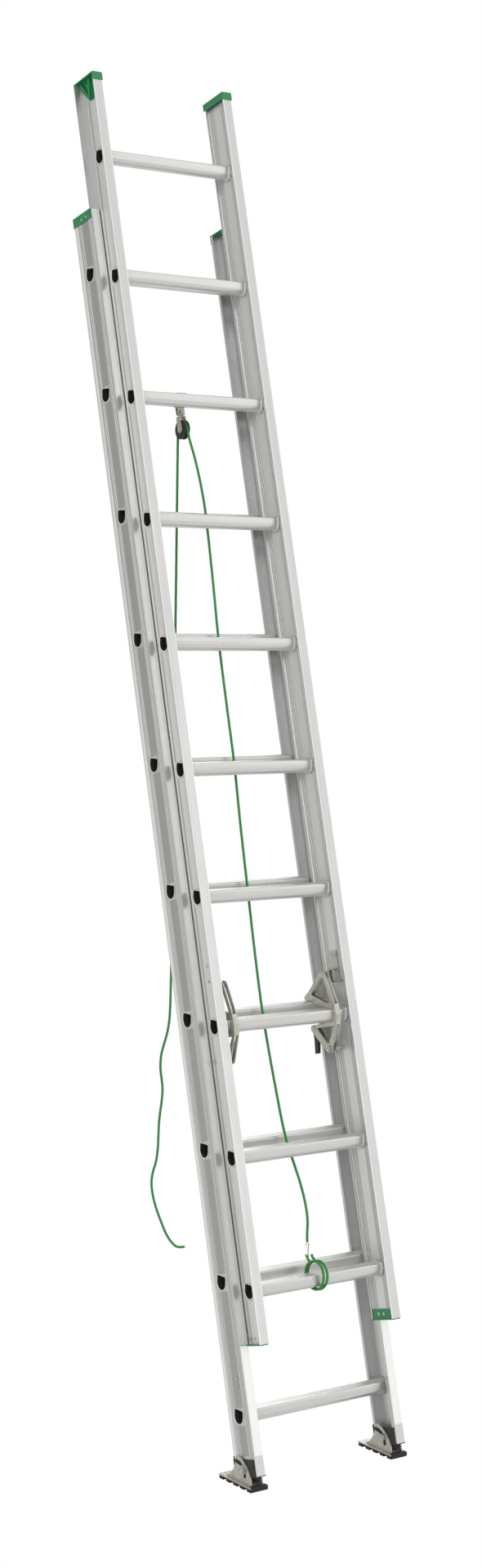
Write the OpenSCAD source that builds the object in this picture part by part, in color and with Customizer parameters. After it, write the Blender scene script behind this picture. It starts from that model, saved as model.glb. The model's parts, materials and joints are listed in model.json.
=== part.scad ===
// Extension ladder: a base section and a fly section that slides on its front.
// Millimetres, +Z up. The origin is on the floor, midway between the two shoe bolts.
// +X is to the right of a climber, -Y is the climber's side. The ladder leans towards +Y.
// Inside lean() the sizes are: x across, y = -d (d points to the climber), z = w (along the rails).

/* [Overall] */
// overall width of the base section, outside to outside of the rails
base_width = 434; // [360:1:520]
// distance from rung to rung along the rails
rung_pitch = 304.8; // [250:0.1:340]
// lean of the ladder from the vertical, degrees
lean_angle = 14.5; // [12:0.5:17]
// the fly's rungs hang this much below the base's rungs when the locks rest
fly_drop = 26; // [20:1:30]

/* [Base rail] */
// length of base rail below the lowest rung's axis
base_foot = 134; // [130:1:160]
// length of base rail above the highest rung's axis
base_head = 153.8; // [100:0.1:220]
// rear face of the base rail behind the rung axis
base_rear = 39; // [30:1:50]
// front face of the base rail ahead of the rung axis
base_front = 43.5; // [40:0.5:50]
// depth of the base rail's flanges across the ladder
base_flange = 23; // [20:0.5:35]
// thickness of the base rail's web
base_web = 2.2; // [1.5:0.1:4]
// thickness of the base rail's flanges
base_flange_t = 3; // [2:0.1:4]

/* [Fly rail] */
// distance from the base's rung axes to the fly's rung axes
fly_depth = 72; // [68:0.5:84]
// front face of the fly rail ahead of the fly's rung axis
fly_front = 36.5; // [30:0.5:44]
// rear edge of the fly rail behind the fly's rung axis
fly_rear = 47; // [44:0.5:50]
// thickness of the fly rail's web
fly_web = 2.2; // [1.5:0.1:4]
// thickness of the fly rail's front flange
fly_flange_t = 3; // [2:0.1:4]
// length of fly rail below its lowest rung's axis
fly_foot = 118.8; // [100:0.1:130]
// length of fly rail above its highest rung's axis
fly_head = 200; // [120:1:260]
// gap between the fly rail's web and the base rail's flange
slide_gap = 2; // [1:0.1:4]

/* [Rungs] */
// depth of a rung, front to rear
rung_depth = 33; // [28:0.5:38]
// height of a rung
rung_height = 33; // [28:0.5:38]
// wall of the rung tube
rung_wall = 2; // [1.2:0.1:3]
// radius of the rung's two upper corners
rung_corner = 5; // [3:0.5:8]
// swaged collar round the rung, beyond the tube
collar = 3; // [1:0.1:4]
// flared rim at the rung's open ends, beyond the tube
rim = 3; // [1:0.1:4]

/* [Shoes] */
// width of a shoe across the ladder
shoe_width = 49.5; // [45:0.5:70]
// length of a shoe
shoe_length = 125; // [100:1:160]
// height of the shoe bolt above the floor
bolt_height = 42.8; // [36:0.2:60]
// distance of the shoe bolt below the lowest rung's axis
bolt_drop = 118; // [100:1:130]
// radius of the shoe bolt
bolt_r = 5; // [3:0.5:7]
// sheet thickness of the shoe
shoe_t = 3; // [2:0.5:5]
// thickness of the rubber pad with its tread
pad_t = 8; // [6:0.5:14]

/* [Rung locks] */
// inner face of a rung lock, from the middle of the ladder
lock_in = 143; // [120:1:150]
// width of a rung lock
lock_w = 14; // [12:1:32]
// sheet thickness of a rung lock
lock_t = 2.5; // [1.5:0.1:4]
// radius of the lock's hinge pin
lock_pin_r = 4; // [3:0.5:6]
// thickness of the black finger, front to rear
finger_t = 14; // [8:1:16]
// length of the finger below its pivot
finger_l = 62; // [40:1:70]

/* [Rope and pulley] */
// diameter of the rope
rope_d = 7; // [5:0.5:8]
// radius of the sheave's rim
sheave_r = 24; // [20:0.5:30]
// width of the sheave
sheave_w = 12; // [10:0.5:16]
// sheet thickness of the strap and the block
strap_t = 2.2; // [1.5:0.1:4]

/* [Hidden] */
$fn = 64;
RUNGS = 10;
BASE_RUNGS = [for (k = [0:RUNGS - 1]) k * rung_pitch];
FLY_RUNGS = [for (k = [1:RUNGS]) k * rung_pitch - fly_drop];
fit = 0.05;
axis_y = bolt_drop * sin(lean_angle);
axis_z = bolt_height + bolt_drop * cos(lean_angle);
base_half = base_width / 2;
bx = base_half - 0.8;
tip_x = base_half - base_flange;
fx = tip_x - slide_gap;
base_low = -base_foot;
base_top = (RUNGS - 1) * rung_pitch + base_head;
fly_low = FLY_RUNGS[0] - fly_foot;
fly_top = FLY_RUNGS[RUNGS - 1] + fly_head;
fly_d = fly_depth + fly_front;
fly_rd = fly_depth - fly_rear;
hook_gap = 3;
lip_d = fly_rd + 3 + hook_gap;
rung_r = rung_depth / 2;
rung_up = rung_height / 2 - 0.5;
rung_low = rung_height - rung_up - rung_r;
shoe_mid = base_half - 11.8;
ear_gap = 0.6;
boot_t = 1.9;
lock_w0 = FLY_RUNGS[2];
lock_b0 = BASE_RUNGS[3];
pin_d = fly_depth - 15;
pin_w = lock_w0 - 80;
finger_d = 6;
finger_w = lock_w0 - 24.4;
pulley_w = BASE_RUNGS[8];
strap_bolt_w = pulley_w - 29.4;
sheave_d = -3;
sheave_z = pulley_w - 74.4;
rope_r = rope_d / 2;
wrap_r = sheave_r - rope_r + 0.2;
cheek_in = sheave_w / 2 + 0.6;

// ---------- placing ----------

// ladder frame: rung 1's axis is the origin, tilted back by the lean
module lean() {
  translate([0, axis_y, axis_z])
    rotate([-lean_angle, 0, 0])
      children();
}

// the same for a point given as [x, d, w]
function world(p) = [
  p[0],
  axis_y + p[2] * sin(lean_angle) - p[1] * cos(lean_angle),
  axis_z + p[2] * cos(lean_angle) + p[1] * sin(lean_angle)
];

// right-hand piece, or its mirror image for the left
module side(s) {
  if (s > 0) {
    children();
  } else {
    mirror([1, 0, 0])
      children();
  }
}

// box given by its x, d and w limits
module slab(x0, x1, d0, d1, w0, w1) {
  translate([x0, -d1, w0])
    cube([x1 - x0, d1 - d0, w1 - w0]);
}

// cylinder along x between two x values
module rod(x0, x1, d, w, r) {
  translate([x0, -d, w])
    rotate([0, 90, 0])
      cylinder(r = r, h = x1 - x0);
}

// rectangle given by its x and d limits
module flat(x0, x1, d0, d1) {
  translate([x0, -d1])
    square([x1 - x0, d1 - d0]);
}

// sheet cut to an outline in d and w, between two x values
module sheet(x0, x1) {
  translate([x0, 0, 0])
    rotate([90, 0, 90])
      linear_extrude(height = x1 - x0)
        mirror([1, 0])
          children();
}

// ---------- rails ----------

module base_profile() {
  flat(bx - base_web, bx, -base_rear, base_front);
  flat(tip_x, bx, -base_rear, -base_rear + base_flange_t);
  flat(tip_x, bx, base_front - base_flange_t, base_front);
  flat(tip_x, tip_x + 2.5, lip_d, base_front);
  flat(tip_x, tip_x + 2.5, -base_rear, -base_rear + 8);
  flat(bx - 0.1, base_half, -base_rear, -base_rear + 11);
  for (d = [-17, -11, 27, 33])
    flat(bx - 0.1, base_half, d - 1.2, d + 1.2);
  flat(bx - 0.1, base_half, base_front - 4, base_front);
}

module base_rail() {
  lean()
    difference() {
      translate([0, 0, base_low])
        linear_extrude(height = base_top - base_low)
          base_profile();
      for (w = BASE_RUNGS)
        translate([0, 0, w])
          union() {
            rung_solid(fit, bx - 10, base_half + 10);
            rung_solid(rim + 0.2, bx, base_half + 10);
          }
      rod(bx - 10, base_half + 10, 0, -bolt_drop, bolt_r + fit);
      for (w = [70, 86])
        rod(bx - 10, base_half + 10, 12, w, 2.4 + fit);
    }
}

module fly_profile() {
  flat(fx - fly_web, fx, fly_rd, fly_d);
  flat(fx - 11, fx + 14, fly_d - fly_flange_t, fly_d);
  flat(fx - fly_web, fx + 18, fly_rd, fly_rd + 3);
  flat(fx - 8, fx - fly_web + 0.1, fly_rd, fly_rd + 4);
  for (d = [-32, -25, 11, 19])
    flat(fx - fly_web - 0.8, fx - fly_web + 0.1, fly_depth + d - 1.2, fly_depth + d + 1.2);
  flat(fx - 0.1, fx + 0.8, fly_depth - 24.2, fly_depth - 21.8);
}

module fly_rail() {
  lean()
    difference() {
      translate([0, 0, fly_low])
        linear_extrude(height = fly_top - fly_low)
          fly_profile();
      for (w = FLY_RUNGS)
        translate([0, -fly_depth, w])
          union() {
            rung_solid(fit, fx - 10, fx + 10);
            rung_solid(collar + 0.2, fx - 10, fx - fly_web);
            rung_solid(rim + 0.2, fx, fx + 10);
          }
      rod(fx - 10, fx + 10, pin_d, pin_w, lock_pin_r + fit);
      for (p = FLY_RIVETS) {
        rod(fx - 10, fx + 10, p[0], p[1], 2.2 + fit);
        rod(fx, fx + 10, p[0], p[1], 4.4);
      }
    }
}

// ---------- rungs ----------

// D outline of a rung, level on top, grown by g
module rung_outline(g) {
  translate([0, -rung_low])
    circle(r = rung_r + g);
  translate([-rung_r - g, -rung_low])
    square([rung_depth + 2 * g, rung_low + rung_up - rung_corner]);
  translate([-rung_r + rung_corner, -rung_low])
    square([rung_depth - 2 * rung_corner, rung_low + rung_up + g]);
  for (s = [-1, 1])
    translate([s * (rung_r - rung_corner), rung_up - rung_corner])
      circle(r = rung_corner + g);
}

module rung_solid(g, x0, x1) {
  rotate([lean_angle, 0, 0])
    translate([x0, 0, 0])
      rotate([90, 0, 90])
        linear_extrude(height = x1 - x0)
          rung_outline(g);
}

// one rung between two webs: xi and xo are the web's inner and outer faces
module rung(w, d, xi, xo) {
  lean()
    translate([0, -d, w])
      difference() {
        union() {
          rung_solid(0, -xo - 1.2, xo + 1.2);
          for (x = [-xi, xi - 6])
            rung_solid(collar, x, x + 6);
          for (x = [-xo - 1.2, xo])
            rung_solid(rim, x, x + 1.2);
        }
        rung_solid(-rung_wall, -xo - 5, xo + 5);
        for (x = [-xo - 5, xo - 6])
          rung_solid(-0.7, x, x + 11);
      }
}

module base_rung(k) {
  rung(BASE_RUNGS[k - 1], 0, bx - base_web, bx);
}

module fly_rung(k) {
  rung(FLY_RUNGS[k - 1], fly_depth, fx - fly_web, fx);
}

// ---------- caps and boots ----------

module base_top_cap() {
  lean()
    difference() {
      union() {
        slab(base_half, base_half + 1.8, -base_rear - 1.8, base_front - 6, base_top - 21, base_top + 2.5);
        slab(tip_x, base_half + 1, -base_rear - 1.8, -base_rear, base_top - 21, base_top + 2.5);
        slab(tip_x, base_half + 1, -base_rear - 1.8, base_front - 6, base_top, base_top + 2.5);
      }
      slab(tip_x - 5, fx + 20, fly_rd - 2.5, lip_d + 0.5, base_top - 30, base_top + 9);
    }
}

module fly_top_cap() {
  lean() {
    slab(fx - 12.5, fx + 15.5, fly_rd - 2, fly_d + 1.8, fly_top, fly_top + 2.5);
    slab(fx - 12.5, fx + 15.5, fly_d, fly_d + 1.8, fly_top - 17, fly_top + 1);
    slab(fx - 12.5, fx - 11, fly_rd - 2, fly_d + 1, fly_top - 15, fly_top + 1);
    slab(fx + 0.8, fx + 4, fly_rd + 4, fly_d - 5, fly_top - 6, fly_top + 1);
    sheet(fx + 0.8, fx + 2.4)
      polygon([
        [fly_depth - 40, fly_top - 5],
        [fly_depth - 38, fly_top - 20],
        [fly_depth - 6, fly_top - 54],
        [fly_depth + 6, fly_top - 54],
        [fly_depth + 30, fly_top - 5]
      ]);
    for (q = [[-34, -28], [4, 10]])
      sheet(fx + 0.8, fx + 9)
        polygon([
          [fly_depth + q[0], fly_top - 5],
          [fly_depth - 4, fly_top - 52],
          [fly_depth + 2, fly_top - 52],
          [fly_depth + q[1], fly_top - 5]
        ]);
  }
}

module fly_bottom_cap() {
  lean()
    difference() {
      union() {
        slab(fx - fly_web - 3.8, fx - fly_web - 0.8, fly_rd + 5, fly_d - 12, fly_low - 1, fly_low + 23);
        slab(fx - 9, fx, fly_rd, fly_d - 5, fly_low - 2.5, fly_low);
        slab(fx - 9, fx + 13, fly_depth - 22, fly_d - 1, fly_low - 2.5, fly_low);
      }
      for (d = [-18.5, 0.5])
        rod(fx - 10, fx + 10, fly_depth + d, fly_low + 12, 2.2 + fit);
    }
}

module rail_boot() {
  lean()
    difference() {
      union() {
        slab(base_half, base_half + boot_t, -base_rear - 2, base_front - 5, base_low - 2, base_low + 38);
        slab(tip_x - boot_t, base_half + 1, -base_rear - 2, -base_rear, base_low - 2, base_low + 44);
        slab(tip_x - boot_t, base_half + boot_t, -base_rear - 2, base_front, base_low - 2, base_low);
        slab(tip_x - boot_t, tip_x, -base_rear - 2, base_front - 5, base_low - 2, base_low + 38);
      }
      rod(tip_x - 10, base_half + 10, 0, -bolt_drop, bolt_r + fit);
    }
}

// ---------- rivets ----------

// through the fly rails: [d, w]
FLY_RIVETS = [
  [fly_depth + 4, lock_w0 + 142.3],
  [fly_depth + 4, lock_w0 + 106.1],
  [fly_depth - 18.5, fly_low + 12],
  [fly_depth + 0.5, fly_low + 12]
];

// a rivet through a web whose faces are xi and xo
module rivet(d, w, xi, xo, r) {
  rod(xi - 1.4, xo + 1.4, d, w, r);
  rod(xi - 1.4, xi, d, w, r + 1.8);
  rod(xo, xo + 1.4, d, w, r + 1.8);
}

module base_rivets() {
  color("gray")
    for (s = [-1, 1])
      side(s)
        lean()
          for (w = [70, 86])
            rivet(12, w, bx - base_web, bx, 2.4);
}

module fly_rivets() {
  color("gray")
    for (s = [-1, 1])
      side(s)
        lean()
          for (p = FLY_RIVETS)
            rivet(p[0], p[1], fx - fly_web - 3.8, fx, 2.2);
}

// ---------- shoes ----------

// point on a quadratic curve from a over b to c
function curve(a, b, c, t) = (1 - t) * (1 - t) * a + 2 * t * (1 - t) * b + t * t * c;

ear_front = [for (i = [0:10]) curve([-31, pad_t + 1], [-29, 52], [20, bolt_height + 26.5], i / 10)];
ear_rear = [for (i = [0:10]) curve([29, bolt_height + 25], [36, 18], [73, pad_t + 1], i / 10)];

// curved slot the bolt runs in, with the bolt on its centre line
module ear_slot() {
  slot_r = 30.67;
  slot_y = slot_r * cos(36.47);
  slot_z = bolt_height - slot_r * sin(36.47);
  w = bolt_r + 0.1;
  translate([0, slot_y, slot_z])
    rotate([90, 0, 90]) {
      rotate([0, 0, 84])
        rotate_extrude(angle = 88)
          translate([slot_r - w, -40])
            square([2 * w, 80]);
      for (a = [84, 172])
        rotate([0, 0, a])
          translate([slot_r, 0, -40])
            cylinder(r = w + 0.15, h = 80);
    }
}

module shoe_ear(x0, x1) {
  translate([x0, 0, 0])
    rotate([90, 0, 90])
      linear_extrude(height = x1 - x0)
        polygon(concat(ear_front, ear_rear));
}

module shoe() {
  difference() {
    union() {
      translate([shoe_mid - shoe_width / 2, -39.5, pad_t])
        cube([shoe_width, shoe_length, shoe_t]);
      shoe_ear(base_half + boot_t + ear_gap, base_half + boot_t + ear_gap + shoe_t);
      shoe_ear(tip_x - boot_t - ear_gap - shoe_t, tip_x - boot_t - ear_gap);
    }
    translate([shoe_mid, 0, 0])
      ear_slot();
  }
}

module shoe_pad() {
  bar = shoe_length / 10;
  translate([shoe_mid - shoe_width / 2 + 1, -38.5, 4])
    cube([shoe_width - 2, shoe_length - 2, pad_t - 4]);
  for (i = [0:4])
    translate([shoe_mid - shoe_width / 2 + 1, -38.5 + i * 2.15 * bar, 0])
      cube([shoe_width - 2, 1.25 * bar, 4.5]);
  translate([shoe_mid - shoe_width / 2 + 1, -40.5, 2])
    cube([shoe_width - 2, 1, pad_t + 1]);
  translate([shoe_mid - shoe_width / 2 + 4, -40, pad_t + shoe_t])
    cube([shoe_width - 8, 8, 2]);
  translate([shoe_mid - shoe_width / 2 + 4, -40.5, pad_t])
    cube([shoe_width - 8, 1, shoe_t + 2]);
}

module shoe_bolt() {
  x0 = tip_x - boot_t - ear_gap - shoe_t - 0.3;
  x1 = base_half + boot_t + ear_gap + shoe_t + 0.3;
  translate([x0 - 6, 0, bolt_height])
    rotate([0, 90, 0])
      cylinder(r = bolt_r, h = x1 - x0 + 8);
  translate([x1, 0, bolt_height])
    rotate([0, 90, 0])
      cylinder(r = bolt_r + 6, h = 1.2);
  translate([x1 + 1, 0, bolt_height])
    rotate([0, 90, 0])
      cylinder(r = bolt_r + 4, h = 4.8, $fn = 6);
  translate([x0 - 5.5, 0, bolt_height])
    rotate([0, 90, 0])
      cylinder(r = bolt_r + 4, h = 5.5, $fn = 6);
}

// ---------- rung locks ----------

// height of the level rung tops at depth d
function top_at(d, d0, w0) = w0 + (rung_up + 0.6) / cos(lean_angle) - (d - d0) * tan(lean_angle);

module lock_outline() {
  difference() {
    polygon([
      [58, lock_w0 + 103],
      [66, lock_w0 + 107],
      [74, lock_w0 + 104],
      [79, lock_w0 + 96],
      [fly_depth + 28, lock_w0 + 24],
      [fly_depth + 31, lock_w0],
      [fly_depth + 26, lock_w0 - 26],
      [pin_d + 10, pin_w - 7],
      [pin_d, pin_w - 10],
      [pin_d - 10, pin_w - 6],
      [finger_d - 9, finger_w - 6],
      [finger_d - 10, finger_w],
      [finger_d - 8, finger_w + 6],
      [finger_d, finger_w + 7.5],
      [fly_depth, lock_w0 - 17.8],
      [fly_depth + 10, lock_w0 - 15.6],
      [fly_depth + 17.6, lock_w0 - 7],
      [fly_depth + 19.8, lock_w0 + 5],
      [fly_depth + 19.8, lock_w0 + 9],
      [fly_depth + 17.7, lock_w0 + 13],
      [fly_depth + 13, top_at(fly_depth + 13, fly_depth, lock_w0)],
      [fly_depth - 12, top_at(fly_depth - 12, fly_depth, lock_w0)],
      [12, top_at(12, 0, lock_b0)],
      [-13, top_at(-13, 0, lock_b0)],
      [-15, lock_b0 + 27],
      [8, lock_b0 + 40],
      [34, lock_b0 + 60]
    ]);
    polygon([
      [14, lock_b0 + 30],
      [62, lock_w0 + 92],
      [70, lock_w0 + 90],
      [fly_depth + 16, lock_w0 + 30],
      [fly_depth - 4, lock_w0 + 30]
    ]);
    polygon([
      [20, finger_w - 2],
      [fly_depth + 16, lock_w0 - 27],
      [pin_d + 2, pin_w + 13],
      [pin_d - 5, pin_w + 13]
    ]);
    translate([finger_d, finger_w])
      circle(r = 3 + fit);
    translate([pin_d, pin_w])
      circle(r = lock_pin_r + fit);
  }
}

module lock_body() {
  lean() {
    for (x = [lock_in, lock_in + lock_w - lock_t])
      sheet(x, x + lock_t)
        lock_outline();
    sheet(lock_in + 1, lock_in + lock_w - 1)
      polygon([
        [fly_depth + 28, lock_w0 + 24],
        [fly_depth + 31, lock_w0],
        [fly_depth + 26, lock_w0 - 26],
        [fly_depth + 23, lock_w0 - 26],
        [fly_depth + 28, lock_w0],
        [fly_depth + 25, lock_w0 + 24]
      ]);
    sheet(lock_in + 1, lock_in + lock_w - 1)
      polygon([
        [-13, top_at(-13, 0, lock_b0)],
        [-15, lock_b0 + 27],
        [8, lock_b0 + 40],
        [10, lock_b0 + 37],
        [-10, lock_b0 + 25],
        [-10, top_at(-10, 0, lock_b0)]
      ]);
  }
}

module lock_finger() {
  lean()
    difference() {
      union() {
        rod(lock_in + lock_t + 0.4, lock_in + lock_w - lock_t - 0.4, finger_d, finger_w, 7.5);
        sheet(lock_in + lock_t + 0.4, lock_in + lock_w - lock_t - 0.4)
          polygon([
            [finger_d - 7.5, finger_w],
            [finger_d + 7.5, finger_w],
            [finger_d + 8, finger_w - finger_l * 0.45],
            [finger_d + 1, finger_w - finger_l],
            [finger_d + 1 - finger_t * 0.8, finger_w - finger_l],
            [finger_d + 8 - finger_t, finger_w - finger_l * 0.45]
          ]);
      }
      rod(lock_in, lock_in + lock_w, finger_d, finger_w, 3 + 0.08);
    }
}

// hinge pin of the lock, set in the fly rail's web, and the finger's rivet is part of the body
module lock_pin() {
  lean() {
    rod(lock_in - 3, fx + 1.5, pin_d, pin_w, lock_pin_r);
    rod(lock_in - 4, lock_in - 0.3, pin_d, pin_w, lock_pin_r + 3);
    rod(fx, fx + 1.5, pin_d, pin_w, lock_pin_r + 2);
  }
}

module finger_rivet() {
  lean() {
    rod(lock_in - 1.5, lock_in + lock_w + 1.5, finger_d, finger_w, 3);
    for (x = [lock_in - 1.5, lock_in + lock_w])
      rod(x, x + 1.5, finger_d, finger_w, 5);
  }
}

// torsion coil round the hinge pin
module lock_spring() {
  lean()
    translate([0, -pin_d, pin_w])
      rotate([0, 90, 0])
        for (i = [0:4])
          translate([0, 0, lock_in + lock_w + 3.2 + i * 2.4])
            rotate_extrude()
              translate([lock_pin_r + 1.6, 0])
                circle(r = 1.3);
}

// guide bracket on the fly rail's web, with the stop stud between its flanges
module lock_guide() {
  lo = lock_w0 + 78;
  xw = fx - fly_web - 0.8;
  lean()
    difference() {
      union() {
        slab(xw - 3, xw, fly_depth - 15, fly_depth + 8, lo, lo + 76);
        slab(xw - 17, xw - 2, fly_depth - 15, fly_depth - 12.5, lo, lo + 34);
        slab(xw - 17, xw - 2, fly_depth + 5.5, fly_depth + 8, lo, lo + 34);
        slab(xw - 17, xw - 2, fly_depth + 5.5, fly_depth + 20, lo, lo + 2.5);
        slab(xw - 14, xw - 2, fly_depth - 13, fly_depth + 6, lo + 30, lo + 32.5);
        translate([xw - 9, -fly_depth + 4, lo + 4])
          cylinder(r = 5.5, h = 18);
        translate([xw - 9, -fly_depth + 4, lo + 20])
          cylinder(r = 4, h = 11);
      }
      for (w = [142.3, 106.1])
        rod(fx - 30, fx + 10, fly_depth + 4, lock_w0 + w, 2.2 + fit);
      rod(fx - 30, xw - 3, fly_depth + 4, lock_w0 + 106.1, 4.2);
    }
}

// ---------- pulley ----------

module pulley_strap() {
  color("lightgray")
    lean()
      difference() {
        union() {
          translate([0, 0, pulley_w])
            rung_solid(strap_t, -10, 10);
          for (d = [sheave_d - 2.7 - strap_t, sheave_d + 2.7])
            slab(-10, 10, d, d + strap_t, strap_bolt_w - 8, pulley_w - rung_r);
        }
        translate([0, 0, pulley_w])
          rung_solid(fit, -20, 20);
        slab(-20, 20, sheave_d - 2.7, sheave_d + 2.7, strap_bolt_w - 9, pulley_w - rung_r - 4);
        translate([0, 30, strap_bolt_w])
          rotate([90, 0, 0])
            cylinder(r = 3 + fit, h = 60);
      }
}

module pulley_block() {
  top = strap_bolt_w - 12;
  out = cheek_in + strap_t;
  color("lightgray")
    lean()
      difference() {
        union() {
          for (x = [-out, cheek_in])
            sheet(x, x + strap_t) {
              translate([sheave_d, sheave_z])
                circle(r = 9);
              polygon([
                [sheave_d - 9, sheave_z],
                [sheave_d + 9, sheave_z],
                [sheave_d + 8, top],
                [sheave_d - 8, top]
              ]);
            }
          slab(-out, out, sheave_d - 8, sheave_d + 8, top - 2.5, top);
          slab(-7, 7, sheave_d - 2.5, sheave_d + 2.5, top - 1, strap_bolt_w);
          translate([0, -sheave_d + 2.5, strap_bolt_w])
            rotate([90, 0, 0])
              cylinder(r = 7, h = 5);
        }
        translate([0, 30, strap_bolt_w])
          rotate([90, 0, 0])
            cylinder(r = 3 + 0.08, h = 60);
        rod(-20, 20, sheave_d, sheave_z, 4 + fit);
      }
}

module pulley_bolt() {
  y0 = -sheave_d - 2.7 - strap_t;
  y1 = -sheave_d + 2.7 + strap_t;
  color("gray")
    lean()
      translate([0, 0, strap_bolt_w]) {
        translate([0, y1 + 5, 0])
          rotate([90, 0, 0])
            cylinder(r = 3, h = y1 - y0 + 7);
        translate([0, y0, 0])
          rotate([90, 0, 0])
            cylinder(r = 5.5, h = 4, $fn = 6);
        translate([0, y1 + 4, 0])
          rotate([90, 0, 0])
            cylinder(r = 5.5, h = 4, $fn = 6);
      }
}

module pulley_sheave() {
  color("dimgray")
    lean()
      translate([0, -sheave_d, sheave_z])
        rotate([0, 90, 0])
          rotate_extrude()
            difference() {
              translate([4.08, -sheave_w / 2])
                square([sheave_r - 4.08, sheave_w]);
              translate([wrap_r, 0])
                circle(r = rope_r + 0.7);
              translate([wrap_r, -rope_r - 0.7])
                square([sheave_r, 2 * rope_r + 1.4]);
            }
}

module pulley_axle() {
  out = cheek_in + strap_t;
  color("gray")
    lean() {
      rod(-out - 1.5, out + 1.5, sheave_d, sheave_z, 4);
      for (x = [-out - 1.5, out])
        rod(x, x + 1.5, sheave_d, sheave_z, 6);
    }
}

// ---------- rope ----------

// round cord through a list of points, as one closed skin
module cord(pts, r, sides) {
  n = len(pts);
  tangent = [for (i = [0:n - 1]) pts[min(i + 1, n - 1)] - pts[max(i - 1, 0)]];
  unit = [for (t = tangent) t / norm(t)];
  across = [for (t = unit) cross(t, [1, 0, 0])];
  u = [for (a = across) a / norm(a)];
  v = [for (i = [0:n - 1]) cross(unit[i], u[i])];
  skin = [
    for (i = [0:n - 1])
      for (j = [0:sides - 1])
        pts[i] + r * (cos(360 * j / sides) * u[i] + sin(360 * j / sides) * v[i])
  ];
  ends = [
    [for (j = [0:sides - 1]) j],
    [for (j = [0:sides - 1]) n * sides - 1 - j]
  ];
  walls = [
    for (i = [0:n - 2])
      for (j = [0:sides - 1])
        for (half = [0, 1])
          half == 0
            ? [(i + 1) * sides + j, (i + 1) * sides + (j + 1) % sides, i * sides + j]
            : [(i + 1) * sides + (j + 1) % sides, i * sides + (j + 1) % sides, i * sides + j]
  ];
  polyhedron(points = skin, faces = concat(ends, walls), convexity = 10);
}

// point on the rope's turn over the sheave at an angle from the front
function on_sheave(a) = [0, sheave_d + wrap_r * cos(a), sheave_z + wrap_r * sin(a)];

// run from below the sheave down between the two sets of rungs to the hook: [x, d, w]
RUN_POINTS = [
  [-1, 25, sheave_z - 46],
  [-2, 34, sheave_z - 80],
  [1, 38, sheave_z - 130],
  [4, 40, sheave_z - 200],
  [5, 38, sheave_z - 251],
  [2, 36, sheave_z - 390],
  [-5, 36, sheave_z - 544],
  [-7, 36, sheave_z - 700],
  [-8, 36, sheave_z - 847],
  [-14, 36, sheave_z - 1000],
  [-18, 36, sheave_z - 1145],
  [-22, 36, sheave_z - 1300],
  [-23, 36, sheave_z - 1450],
  [-16, 36, sheave_z - 1610],
  [-5, 37, sheave_z - 1754],
  [1, 46, sheave_z - 1810],
  [5, 56, sheave_z - 1860],
  [7, 62, sheave_z - 1905],
  [6, 64, sheave_z - 1945],
  [1, 62, sheave_z - 1978],
  [-1, 60, sheave_z - 1997]
];

// turn over the sheave, then the free tail: its points are steps from the sheave's rear
TURN_POINTS = concat(
  [
    [-1, 25, sheave_z - 46],
    [0, 19, sheave_z - 22]
  ],
  [for (a = [-4:23:180]) on_sheave(a)]
);
rear = world(on_sheave(180));
// tail: [how far it strays, height below the sheave]
TAIL_DROPS = [
  [0, 20], [0, 120], [0, 420], [0, 760], [0, 1080], [0, 1344],
  [5, 1470], [14, 1504], [38, 1560], [41, 1594], [31, 1650], [44, 1731],
  [49, 1805], [57, 1838], [70, 1866], [74, 1894], [66, 1926], [53, 1953],
  [30, 1988], [7, 2018], [-17, 2038], [-41, 2048], [-70, 2047]
];
TAIL_POINTS = [
  for (t = TAIL_DROPS)
    [-0.36 * t[0], rear[1] + 0.5 * t[0], rear[2] - t[1]]
];

// two turns round the fly's lowest rung, hung from the hook: [x, d, w] from the rung's axis
function turn(t) = [
  10 - 17 * t,
  2 + (37 - 7 * t) * cos(100 - 720 * t),
  10 + (33 - t) * sin(100 - 720 * t)
];
HITCH_POINTS = concat(
  [
    [7, -13, 58],
    [8.5, -10, 50]
  ],
  [for (i = [0:30]) turn(i / 30)],
  [
    [-7.5, -9, 49],
    [-6.5, -13, 58]
  ]
);

module rope_run() {
  color("olivedrab")
    cord([for (p = RUN_POINTS) world(p)], rope_r, 10);
}

module rope_tail() {
  color("olivedrab")
    cord(concat([for (p = TURN_POINTS) world(p)], TAIL_POINTS), rope_r, 10);
}

module rope_hitch() {
  color("olivedrab")
    cord([for (p = HITCH_POINTS) world(p + [0, fly_depth, FLY_RUNGS[0]])], rope_r, 10);
}

// wire hook that holds the rope's end to its standing part
CLIP_POINTS = [
  [-5, -13, 80],
  [-4, -13, 84],
  [-1, -12, 86.6],
  [2, -12, 84],
  [3, -13, 79],
  [0, -14, 71],
  [-1.2, -14, 62],
  [-1.2, -14, 56],
  [-1.2, -18, 52],
  [-1.2, -23, 53],
  [-1.2, -25, 57],
  [-1.2, -24, 61]
];

module rope_clip() {
  color("gray")
    cord([for (p = CLIP_POINTS) world(p + [0, fly_depth, FLY_RUNGS[0]])], 1.3, 8);
}

// ---------- left and right pieces ----------

module base_rail_left() {
  side(-1)
    color("silver")
      base_rail();
}

module base_rail_right() {
  side(1)
    color("silver")
      base_rail();
}

module fly_rail_left() {
  side(-1)
    color("silver")
      fly_rail();
}

module fly_rail_right() {
  side(1)
    color("silver")
      fly_rail();
}

module base_top_cap_left() {
  side(-1)
    color("seagreen")
      base_top_cap();
}

module base_top_cap_right() {
  side(1)
    color("seagreen")
      base_top_cap();
}

module fly_top_cap_left() {
  side(-1)
    color("seagreen")
      fly_top_cap();
}

module fly_top_cap_right() {
  side(1)
    color("seagreen")
      fly_top_cap();
}

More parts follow.
